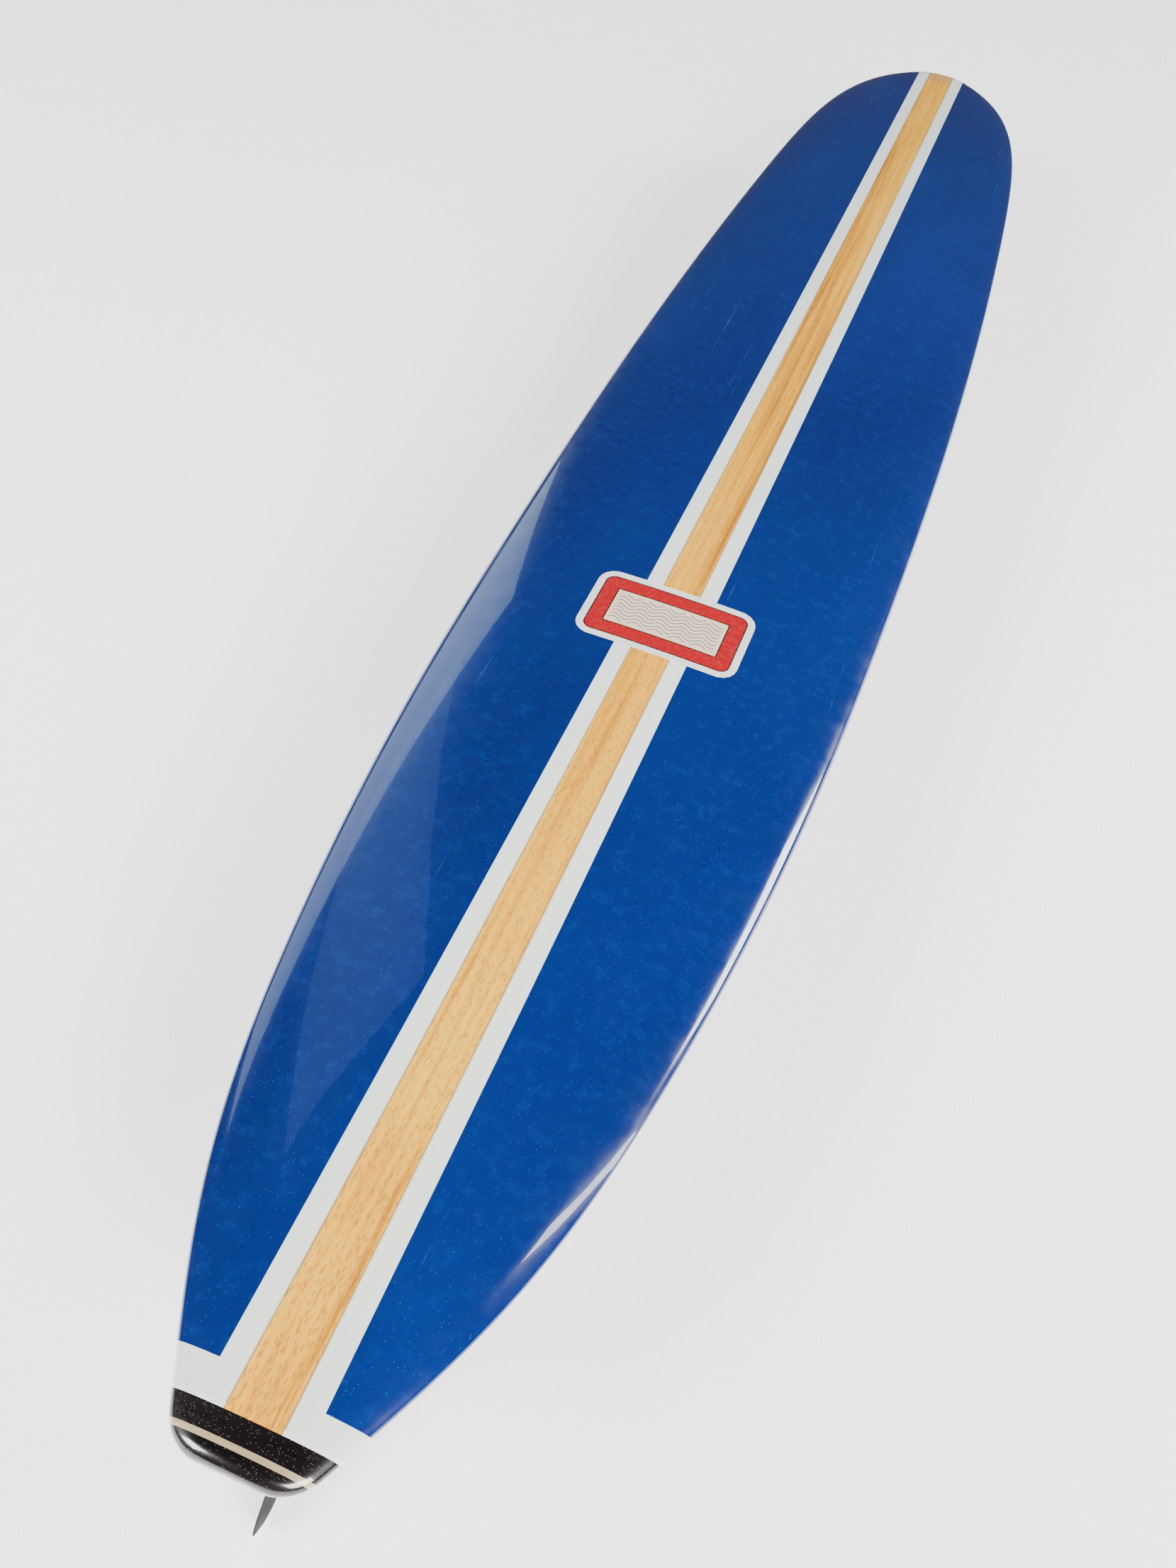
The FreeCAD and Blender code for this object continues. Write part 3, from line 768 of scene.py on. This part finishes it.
def build_hardware():
    """Fin box, fin, pin, plate and screw keep their CAD shapes and get their materials."""
    keep_cad("fin_box", plain_material("box_plastic", (0.66, 0.67, 0.63), (0.76, 0.77, 0.73), 0.38, 0.0,
                                       180.0, 0.0002))
    keep_cad("fin", fin_material())
    keep_cad("fin_pin", plain_material("pin_brass", (0.52, 0.36, 0.13), (0.70, 0.52, 0.22), 0.28, 1.0,
                                       900.0, 0.0001, (0.05, 1.0, 1.0)))
    steel = plain_material("stainless", (0.48, 0.48, 0.49), (0.66, 0.66, 0.67), 0.30, 1.0, 1200.0, 0.0001,
                           (1.0, 0.06, 1.0))
    keep_cad("fin_plate", steel)
    keep_cad("fin_screw", steel)
    foam = plain_material("blank_foam", (0.78, 0.80, 0.70), (0.88, 0.89, 0.81), 0.75, 0.0, 800.0, 0.0005)
    keep_cad("foam_left", foam)
    keep_cad("foam_right", foam)


# ---------------------------------------------------------------- floor, light and camera
FLOOR_GLOW = 1.15
FLOOR_LOW = (-9.0, -9.0)
FLOOR_SIZE = (18.0, 20.0)
FLOOR_GAP = 0.002
FLOOR_SPANS = 40


def build_stage():
    """Plain pale level floor, and a dim even sky."""
    floor_z = CAD_BOX[0][2] - FLOOR_GAP
    bm = bmesh.new()
    count = FLOOR_SPANS
    grid = []
    for i in range(count + 1):
        row = []
        for j in range(count + 1):
            x = FLOOR_LOW[0] + FLOOR_SIZE[0] * i / count
            y = FLOOR_LOW[1] + FLOOR_SIZE[1] * j / count
            row.append(bm.verts.new((x, y, floor_z)))
        grid.append(row)
    for i in range(count):
        for j in range(count):
            bm.faces.new((grid[i][j], grid[i + 1][j], grid[i + 1][j + 1], grid[i][j + 1]))
    mesh = bpy.data.meshes.new("floor")
    bm.to_mesh(mesh)
    bm.free()
    floor = new_object("floor", mesh)
    n = Nodes("floor_paper", 0.85)
    tone = n.noise(1.5, detail=3.0)
    n.shader.inputs["Emission Color"].default_value = (1.0, 1.0, 1.0, 1.0)
    n.shader.inputs["Emission Strength"].default_value = FLOOR_GLOW
    paper = n.ramp(tone, ((0.3, (0.86, 0.86, 0.86)), (0.7, (0.89, 0.89, 0.89))))
    floor.data.materials.append(n.surface(paper))
    world = bpy.data.worlds.new("studio")
    world.use_nodes = True
    world.node_tree.nodes["Background"].inputs["Color"].default_value = (0.93, 0.96, 1.0, 1.0)
    world.node_tree.nodes["Background"].inputs["Strength"].default_value = 0.12
    bpy.context.scene.world = world


def add_light(name, place, target, size_x, size_y, power, color=(1.0, 1.0, 1.0)):
    """One soft rectangular light aimed at a point."""
    data = bpy.data.lights.new(name, "AREA")
    data.shape = "RECTANGLE"
    data.size = size_x
    data.size_y = size_y
    data.energy = power
    data.color = color
    light = bpy.data.objects.new(name, data)
    light.location = place
    aim = Vector(target) - Vector(place)
    light.rotation_euler = aim.to_track_quat("-Z", "Y").to_euler()
    bpy.context.scene.collection.objects.link(light)


def build_lights():
    """Soft boxes beside and behind the board, mostly out of the deck's mirror direction."""
    aim = (0.0, 0.0, 0.0)
    add_light("left_rear", (-3.6, -4.2, 3.4), aim, 2.4, 2.4, 640.0, (1.0, 0.99, 0.97))
    add_light("right_rear", (3.8, -4.0, 3.2), aim, 2.4, 2.4, 600.0, (1.0, 0.99, 0.97))
    add_light("left_front", (-5.0, 2.6, 2.6), aim, 4.6, 3.0, 100.0, (0.60, 0.80, 1.0))
    add_light("right_front", (5.0, 2.6, 2.6), aim, 2.0, 2.0, 370.0, (0.97, 0.985, 1.0))
    add_light("rail_strip", (2.9, -0.2, 1.9), (0.2, -0.3, 0.0), 0.25, 3.4, 50.0)
    add_light("left_sky", (-3.2, 2.2, 4.4), (-0.2, 0.0, 0.0), 1.5, 3.2, 9.0, (0.45, 0.72, 1.0))


CAMERA_PLACE = (0.23195, -1.64397, 1.22429)
CAMERA_YAW = math.radians(-14.063)
CAMERA_PITCH = math.radians(-50.763)
CAMERA_ROLL = math.radians(8.957)
CAMERA_LENS = 28.779
CAMERA_SENSOR = 36.0


def build_camera():
    """Camera over the right side of the tail, looking along the board to the nose."""
    yaw, pitch, roll = CAMERA_YAW, CAMERA_PITCH, CAMERA_ROLL
    forward = Vector((math.sin(yaw) * math.cos(pitch), math.cos(yaw) * math.cos(pitch), math.sin(pitch)))
    level = forward.cross(Vector((0.0, 0.0, 1.0))).normalized()
    above = level.cross(forward)
    right = level * math.cos(roll) + above * math.sin(roll)
    up = above * math.cos(roll) - level * math.sin(roll)
    data = bpy.data.cameras.new("camera")
    data.sensor_fit = "VERTICAL"
    data.sensor_height = CAMERA_SENSOR
    data.lens = CAMERA_LENS
    camera = bpy.data.objects.new("camera", data)
    camera.matrix_world = Matrix((
        (right.x, up.x, -forward.x, CAMERA_PLACE[0]),
        (right.y, up.y, -forward.y, CAMERA_PLACE[1]),
        (right.z, up.z, -forward.z, CAMERA_PLACE[2]),
        (0.0, 0.0, 0.0, 1.0)))
    bpy.context.scene.collection.objects.link(camera)
    bpy.context.scene.camera = camera


def main():
    """Build everything around the frame."""
    blue = blue_material()
    cloth = cloth_material()
    balsa = ((0.42, 0.140, 0.006), (0.88, 0.400, 0.020), (0.98, 0.560, 0.050))
    wood = wood_material("stringer_wood", balsa, (0.27, 0.100, 0.020), 0.7)
    stripe = inlay_material("stripe_inlay", (0.36, 0.27, 0.14), (0.55, 0.44, 0.26))
    white = inlay_material("white_strip", (0.84, 0.86, 0.80), (0.93, 0.94, 0.90))
    build_skins(blue, cloth)
    build_core(wood, dark_block_material(), stripe, white)
    build_label()
    build_hardware()
    build_stage()
    build_lights()
    build_camera()


main()
